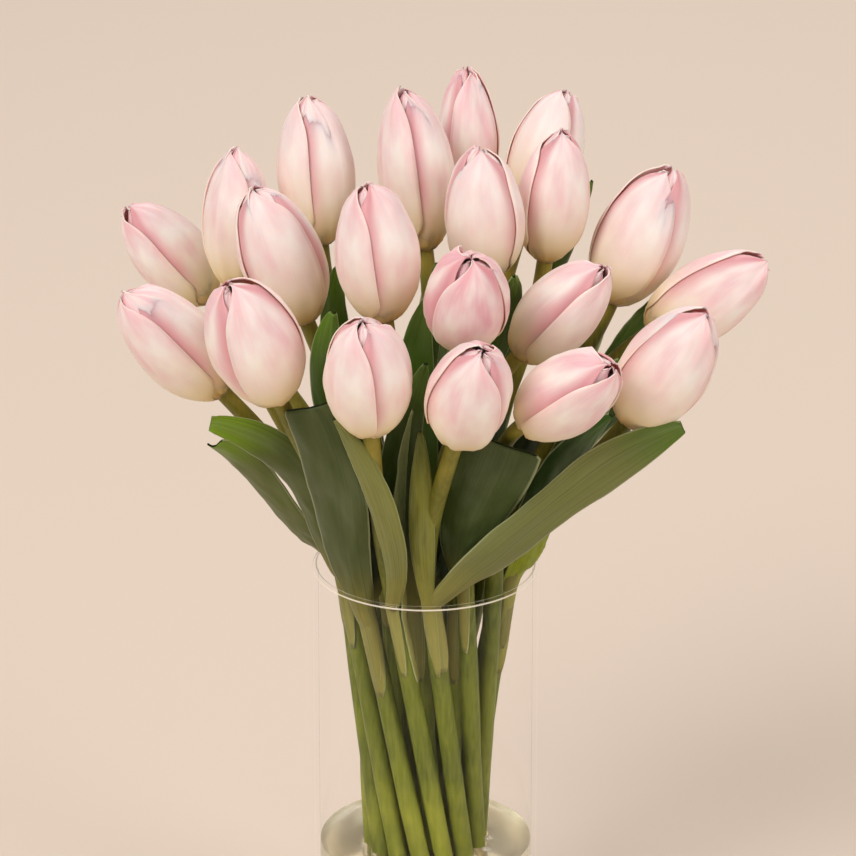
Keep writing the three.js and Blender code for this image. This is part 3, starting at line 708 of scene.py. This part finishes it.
# %% Stem tree
stem_tree, size = new_tree(
    "tulip stem",
    {"Foot radius": FOOT_RADIUS * MM, "Neck radius": NECK_RADIUS * MM, "Sides": 20, "Seed": 1},
)
tree = stem_tree
line = add(tree, "GeometryNodeMeshToCurve", [size["Geometry"]])
ring = add(tree, "GeometryNodeCurvePrimitiveCircle", {"Resolution": size["Sides"], "Radius": 1.0})
share = add(tree, "GeometryNodeSplineParameter").outputs["Factor"]
thickness = add(tree, RANGE, [share, 0.0, 1.0, size["Foot radius"], size["Neck radius"]])
here = add(tree, "GeometryNodeInputPosition")
here = add(tree, VECTOR, [here, size["Seed"]], "ADD")
uneven = add(tree, NOISE, {"Vector": here, "Scale": 28.0, "Detail": 1.0})
uneven = add(tree, RANGE, [uneven, 0.3, 0.7, 0.94, 1.04])
thickness = add(tree, MATH, [thickness, uneven], "MULTIPLY")
sweep = {"Curve": line, "Profile Curve": ring, "Scale": thickness, "Fill Caps": True}
bar = add(tree, "GeometryNodeCurveToMesh", sweep)
end_tree(tree, bar, stem_skin)

# %% Leaf tree: a strip swept along the guide, with the guide's numbers on every point
leaf_tree, size = new_tree(
    "tulip leaf", {"Across": 17, "Clasp radius": 4.3 * MM, "Clasp length": 0.22}
)
tree = leaf_tree
outward, sideways, middle = (
    add(tree, NAMED, {"Name": name}, data_type="FLOAT_VECTOR").outputs["Attribute"]
    for name in ("outward", "sideways", "middle")
)
line = add(tree, "GeometryNodeMeshToCurve", [size["Geometry"]])
line = add(tree, "GeometryNodeSetCurveNormal", {"Curve": line, "Normal": outward}, mode="FREE")
strip = add(tree, "GeometryNodeCurvePrimitiveLine", {"Start": (0, 1, 0), "End": (0, -1, 0)})
strip = add(tree, "GeometryNodeResampleCurve", {"Curve": strip, "Count": size["Across"]})
side = add(tree, "GeometryNodeSplineParameter").outputs["Factor"]
side = add(tree, MATH, [side, 2.0, -1.0], "MULTIPLY_ADD")
strip = add(tree, STORE, {"Geometry": strip, "Name": "across", "Value": side})
sweep = {"Curve": line, "Profile Curve": strip, "Scale": MM}
blade = add(tree, "GeometryNodeCurveToMesh", sweep)
t, s, half, fold, wave, which = (
    add(tree, NAMED, {"Name": name}).outputs["Attribute"]
    for name in ("along", "across", "half", "fold", "wave", "leaf")
)

# %% Leaf tree: how each point is moved
# how sharply the strip is curled: as a sleeve at its foot, then as a shallow trough
clasp = add(tree, RANGE, [t, 0.0, size["Clasp length"], 1.0, 0.0], **SMOOTH)
trough = add(tree, MATH, [fold, 2.0], "MULTIPLY")
trough = add(tree, MATH, [trough, half], "DIVIDE")
sleeve = add(tree, MATH, [1.0, size["Clasp radius"]], "DIVIDE")
curl = add(tree, MIX, {"Factor": clasp, "A": trough, "B": sleeve}, data_type="FLOAT")
bend = add(tree, MATH, [s, half], "MULTIPLY")
bend = add(tree, MATH, [bend, curl], "MULTIPLY")
out = add(tree, MATH, [bend], "COSINE")
out = add(tree, MATH, [out, 1.0], "SUBTRACT")
out = add(tree, MATH, [out, curl], "DIVIDE")
aside = add(tree, MATH, [bend], "SINE")
aside = add(tree, MATH, [aside, curl], "DIVIDE")
# the edges wave one and a half times along the leaf, one up while the other is down
waves = add(tree, MATH, [t, 3 * math.pi], "MULTIPLY")
waves = add(tree, MATH, [waves], "SINE")
hem = add(tree, MATH, [s], "ABSOLUTE")
hem = add(tree, MATH, [s, hem], "MULTIPLY")
waves = add(tree, MATH, [waves, hem], "MULTIPLY")
out = add(tree, MATH, [waves, wave, out], "MULTIPLY_ADD")
# the sleeve's middle lies on the stem's skin, not in its core
out = add(tree, MATH, [clasp, size["Clasp radius"], out], "MULTIPLY_ADD")
# uneven edges and soft dents, none on the sleeve
LEAF_DENTS = 2.4 * MM
spot = add(tree, JOIN, [s, t, which])
spot = add(tree, VECTOR, [spot, (1.3, 5.0, 6.1)], "MULTIPLY")
dents = add(tree, NOISE, {"Vector": spot, "Scale": 1.5, "Detail": 1.0})
dents = add(tree, MATH, [dents, 0.5], "SUBTRACT")
free = add(tree, MATH, [1.0, clasp], "SUBTRACT")
dents = add(tree, MATH, [dents, free], "MULTIPLY")
out = add(tree, MATH, [dents, LEAF_DENTS, out], "MULTIPLY_ADD")
point = middle
for direction, distance in ((outward, out), (sideways, aside)):
    shift = add(tree, VECTOR, {0: direction, "Scale": distance}, "SCALE")
    point = add(tree, VECTOR, [point, shift], "ADD")
blade = add(tree, "GeometryNodeSetPosition", {"Geometry": blade, "Position": point})
end_tree(tree, blade, leaf_skin)


# %% Leaf guides
def turned_about(v, axis, angle):
    c, s = math.cos(angle), math.sin(angle)
    return v * c + np.cross(axis, v) * s + axis * (axis @ v) * (1 - c)


SHEATH = 34  # how far down its stem a leaf's foot reaches, in millimetres
SHEATH_SHARE = 0.24  # the same, counted as "along" beyond the start of the leaf
SHEATHED_BELOW = 210  # a leaf that leaves its stem higher than this has no sheath


def leaf_guide(index, rows=61, sheath_rows=12):
    """One leaf's middle line, with the numbers and directions that its strip needs."""
    stem, start, *path, width, face = LEAVES[index]
    fold, wave, turn, base, tip, waist = HABITS.get(index, USUAL_HABIT)
    points = [stem_point(stem, start)] + [np.array(p, float) for p in path]
    steps = np.linspace(0, 1, rows)
    line = [through_four(*points, t) for t in steps]
    if start < SHEATHED_BELOW:
        below = np.linspace(-SHEATH_SHARE, -0.02, sheath_rows)
        line = [stem_point(stem, start + SHEATH * t / SHEATH_SHARE) for t in below] + line
        steps = np.concatenate([below, steps])
    line = np.array(line)
    tangents = np.gradient(line, axis=0)
    outward, sideways = [], []
    for t, tangent in zip(steps, tangents):
        tangent = unit(tangent)
        facing = plan(face) - tangent * (plan(face) @ tangent)
        facing = turned_about(unit(facing), tangent, math.radians(turn * max(t, 0)))
        outward.append(facing)
        sideways.append(np.cross(facing, tangent))
    # its outline, rounded off at the tip and at the foot of the sheath
    risen = steps.clip(0)
    swell = np.sin(np.pi * (base + (tip - base) * risen**1.25)).clip(0) ** 0.7
    swell *= 1 - waist * np.sin(np.pi * risen) ** 6
    swell *= np.sqrt(1 - ((steps - 0.96) / 0.04).clip(0) ** 3)
    swell *= np.sqrt(1 - (-steps / (SHEATH_SHARE + 0.005)).clip(0) ** 2)
    half = np.maximum(width * swell, 0.5) / 2 * MM
    same = np.ones(len(steps))
    numbers = {
        "along": steps,
        "half": half,
        "fold": fold * same,
        "wave": wave * MM * same,
        "leaf": index * same,
    }
    return line, numbers, np.array(outward), np.array(sideways)


# each leaf's green, over the blade and at its tip: young ones are bright; the ones that fill dark
# gaps in the bunch are painted dark, as painted shade
SHADED, YOUNG, OUTER = ("#1E2A06", "#26380A"), ("#42600C", "#5A7F14"), ("#4A5A24", "#567020")
LEAF_COLOURS = {
    0: ("#58621F", "#708E12"), 1: ("#4E5A1E", "#708E12"), 2: ("#434F1C", "#3E4A1C"),
    3: ("#808240", "#767838"), 4: ("#7A8450", "#848E58"), 5: ("#38480C", "#445C10"),
    6: ("#80802E", "#6A702C"), 7: ("#3C4C16", "#38480E"), 8: ("#737840", "#56701C"),
    9: ("#1E3400", "#34580A"), 10: ("#8A9414", "#808E1A"), 11: SHADED, 12: SHADED,
    **{i: YOUNG for i in range(13, 21)}, **{i: SHADED for i in (21, 22, 23)},
    **{i: OUTER for i in range(24, 30)},
}
LEAF_WALL = 0.8  # millimetres


def grow_leaves(number):
    """All the leaves of one stem."""
    mine = [i for i, leaf in enumerate(LEAVES) if leaf[0] == number]
    if not mine:
        return []
    lines, numbers, outward, sideways = zip(*(leaf_guide(i) for i in mine))
    guide = guide_mesh(lines, {name: [n[name] for n in numbers] for name in numbers[0]})
    blades, tips = (
        [np.tile(linear(LEAF_COLOURS[i][part])[:3], (len(line), 1)) for i, line in zip(mine, lines)]
        for part in (0, 1)
    )
    for name, values in {
        "outward": outward,
        "sideways": sideways,
        "middle": [line * MM for line in lines],
        "blade_colour": blades,
        "tip_colour": tips,
    }.items():
        mark(guide, name, "FLOAT_VECTOR", values)
    return [grow("leaves", leaf_tree, guide, wall=LEAF_WALL)]


# %% Twenty leafy stems
STEM_FOOT = 9.2  # a little above the vase's floor
INTO_BLOOM = 4  # how far the stem runs on into its bloom
for number, tulip in TULIPS.items():
    neck, tip = (np.array(p, float) for p in tulip[:2])
    heights = np.concatenate(
        [np.linspace(STEM_FOOT, VASE_HEIGHT, 40), np.linspace(VASE_HEIGHT, neck[2], 30)[1:]]
    )
    line = np.array([stem_point(number, h) for h in heights])
    line = np.concatenate([line, [line[-1] + unit(tip - neck) * INTO_BLOOM]])
    stem = grow(f"greens_{number:02d}", stem_tree, guide_mesh([line], {}), Seed=number)
    leaves = grow_leaves(number)
    if leaves:
        joined = [stem, *leaves]
        with bpy.context.temp_override(active_object=stem, selected_editable_objects=joined):
            bpy.ops.object.join()
    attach(stem, "root")
    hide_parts(f"leafy_stem_{number:02d}")
print("the last leafy stem has", len(stem.data.polygons), "faces")

# %% [markdown]
# ## Vase and water
# The vase is a straight cylinder of clear soda-lime glass with a thick floor, fire-polished at
# its rim. The rim's two fine bright lines, where it gathers the room's light, are painted
# highlights: pale bands on the rim. It is turned from one profile. The water fills the gaps
# between the stems, and climbs a little at the glass and at each stem. A thin even wall hardly
# shifts what is behind it, so the glass is given next to no bending of light, and a clear coat
# carries its gloss. That keeps its sides from turning black.


# %% Glass and water
def clear_material(name, tint, ior, roughness=0.0, coat=0.0):
    """Clear stuff that bends light, and lets the lamps through so that it casts no black shadow."""
    material, shader, surface = new_material(
        name,
        {
            "Base Color": linear(tint),
            "Roughness": roughness,
            "IOR": ior,
            "Coat Weight": coat,
            "Coat Roughness": 0.02,
            "Transmission Weight": 1.0,
        },
    )
    passing = add(shader, "ShaderNodeBsdfTransparent", [linear(tint)])
    shadow = add(shader, "ShaderNodeLightPath").outputs["Is Shadow Ray"]
    both = add(shader, "ShaderNodeMixShader", [shadow, surface, passing])
    shader.links.new(both.outputs[0], shader.nodes["Material Output"].inputs["Surface"])
    return material


# glass without a tint, and still water that is faintly yellow and blurs a little, as sap makes it
soda_glass = clear_material("soda_lime_glass_clear", "#FFFFFF", 1.001, coat=0.2)
still_water = clear_material("still_water", "#EEEACF", 1.33, roughness=0.22)
# the rounded rim gathers the room's light into lines, which are painted here as pale bands: painted
# highlights
painted_rim_highlight = new_material(
    "rim_painted_highlight", {"Base Color": linear("#F4EEDC"), "Roughness": 0.2, "Alpha": 0.75}
)[0]


# %% The vase's profile
def turned_profile(name, profile, material, bright, bright_material, sides=128):
    """A closed solid of revolution: its profile starts and ends on the axis, in millimetres."""
    mesh = bpy.data.meshes.new(name)
    points, rings = [], []
    for radius, z in profile:
        start = len(points)
        if radius == 0:
            points.append((0, 0, z * MM))
            rings.append([start] * sides)
            continue
        for k in range(sides):
            a = 2 * math.pi * k / sides
            points.append((radius * MM * math.cos(a), radius * MM * math.sin(a), z * MM))
        rings.append(list(range(start, start + sides)))
    faces = []
    for low, high in zip(rings, rings[1:]):
        for k in range(sides):
            n = (k + 1) % sides
            face = [low[k], low[n], high[n], high[k]]
            faces.append([v for i, v in enumerate(face) if v not in face[:i]])
    mesh.from_pydata(points, [], faces)
    mesh.materials.append(material)
    mesh.materials.append(bright_material)
    # the bands listed in bright get the second material, the rim's painted highlight
    for band in bright:
        for face in mesh.polygons[band * sides : (band + 1) * sides]:
            face.material_index = 1
    mesh.shade_smooth()
    return place_mesh(name, mesh)


def rounded(centre, radius, start, end, steps=6):
    """Points of a small arc, for a corner."""
    angles = np.radians(np.linspace(start, end, steps))
    return [(centre[0] + radius * math.cos(a), centre[1] + radius * math.sin(a)) for a in angles]


outer, inner_wall = VASE_RADIUS, VASE_RADIUS - GLASS
FOOT_CORNER, FLOOR_CORNER, RIM_CORNER = 1.2, 1.5, GLASS / 2
LOWER_LINE = 198.35  # where the lower of the rim's two bright lines begins
profile = [(0, 0), (outer - 6, 0), (outer - FOOT_CORNER, 0)]
profile += rounded((outer - FOOT_CORNER, FOOT_CORNER), FOOT_CORNER, -90, 0)[1:]
profile += [(outer, 20), (outer, 110), (outer, 190), (outer, LOWER_LINE)]
rim_starts = len(profile)
profile += rounded((outer - RIM_CORNER, VASE_HEIGHT - RIM_CORNER), RIM_CORNER, 0, 180, 13)
# the faces under the rim's two bright lines carry the painted highlight
bright_bands = [rim_starts - 1, rim_starts, rim_starts + 6, rim_starts + 7]
profile += [(inner_wall, 190), (inner_wall, 110), (inner_wall, 20)]
corner = (inner_wall - FLOOR_CORNER, VASE_FLOOR + FLOOR_CORNER)
profile += rounded(corner, FLOOR_CORNER, 0, -90)
profile += [(inner_wall - 8, VASE_FLOOR), (0, VASE_FLOOR)]
vase = turned_profile("glass_vase", profile, soda_glass, bright_bands, painted_rim_highlight)
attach(vase, "root")
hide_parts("vase")
print("points of the vase's profile:", len(profile))

# %% Water between the stems
STEM_HOLE = FOOT_RADIUS + 0.3
WATER_WALL = inner_wall - 0.15
WATER_FLOOR = VASE_FLOOR + 0.2
WALL_SIDES, HOLE_SIDES = 96, 20
CLIMB_WALL, CLIMB_STEM = (1.4, 1.6), (0.8, 1.0)  # how high the water climbs, and over what distance


def flat_sheet(loops, inside, holes):
    """Triangles that fill the first loop and leave the others open, and the points they join."""
    points = [p for loop in loops for p in loop] + inside
    edges, start = [], 0
    for loop in loops:
        edges += [(start + k, start + (k + 1) % len(loop)) for k in range(len(loop))]
        start += len(loop)
    found = delaunay_2d_cdt([Vector(p) for p in points], edges, [], 0, 1e-6)
    origin = [first[0] for first in found[3]]
    triangles = []
    for face in found[2]:
        face = [origin[v] for v in face]
        middle = sum(points[v] for v in face) / 3
        if min(np.linalg.norm(middle - h) for h in holes) > STEM_HOLE * 0.98:
            triangles.append(face)
    return points, triangles


def water_mesh(name):
    """A thick plate of water with a hole for every stem, raised a little at whatever it touches."""
    rims = []
    for z in (WATER_LEVEL, WATER_FLOOR):
        holes = [stem_point(n, z)[:2] for n in TULIPS]
        loops = [[WATER_WALL * plan(360 * k / WALL_SIDES)[:2] for k in range(WALL_SIDES)]]
        for hole in holes:
            turns = [plan(360 * k / HOLE_SIDES)[:2] for k in range(HOLE_SIDES)]
            loops.append([hole + STEM_HOLE * turn for turn in turns])
        inside = []
        grid = np.arange(-46, 46.1, 2.0) if z == WATER_LEVEL else []
        for p in (np.array([x, y]) for x in grid for y in grid):
            near = min(np.linalg.norm(p - h) for h in holes)
            if near > STEM_HOLE + 0.5 and np.linalg.norm(p) < WATER_WALL - 0.7:
                inside.append(p)
        rims.append((z, holes, *flat_sheet(loops, inside, holes)))
    points, faces = [], []
    for z, holes, flat, triangles in rims:
        start = len(points)
        for p in flat:
            lift = 0
            if z == WATER_LEVEL:
                lift = CLIMB_WALL[0] * math.exp(-(WATER_WALL - np.linalg.norm(p)) / CLIMB_WALL[1])
                near = min(np.linalg.norm(p - h) for h in holes) - STEM_HOLE
                lift += CLIMB_STEM[0] * math.exp(-near / CLIMB_STEM[1])
            points.append((p[0] * MM, p[1] * MM, (z + lift) * MM))
        faces += [[start + v for v in face] for face in triangles]
    below, start = len(rims[0][2]), 0
    for length in [WALL_SIDES] + [HOLE_SIDES] * len(TULIPS):
        for k in range(length):
            a, b = start + k, start + (k + 1) % length
            faces.append([a, b, below + b, below + a])
        start += length
    mesh = bpy.data.meshes.new(name)
    mesh.from_pydata(points, [], faces)
    shell = bmesh.new()
    shell.from_mesh(mesh)
    bmesh.ops.recalc_face_normals(shell, faces=shell.faces)
    shell.to_mesh(mesh)
    shell.free()
    mesh.materials.append(still_water)
    mesh.shade_smooth()
    mesh.set_sharp_from_angle(angle=math.radians(40))
    return mesh


water = place_mesh("vase_water", water_mesh("vase_water"))
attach(water, "root")
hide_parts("water")
print("faces of the water:", len(water.data.polygons))
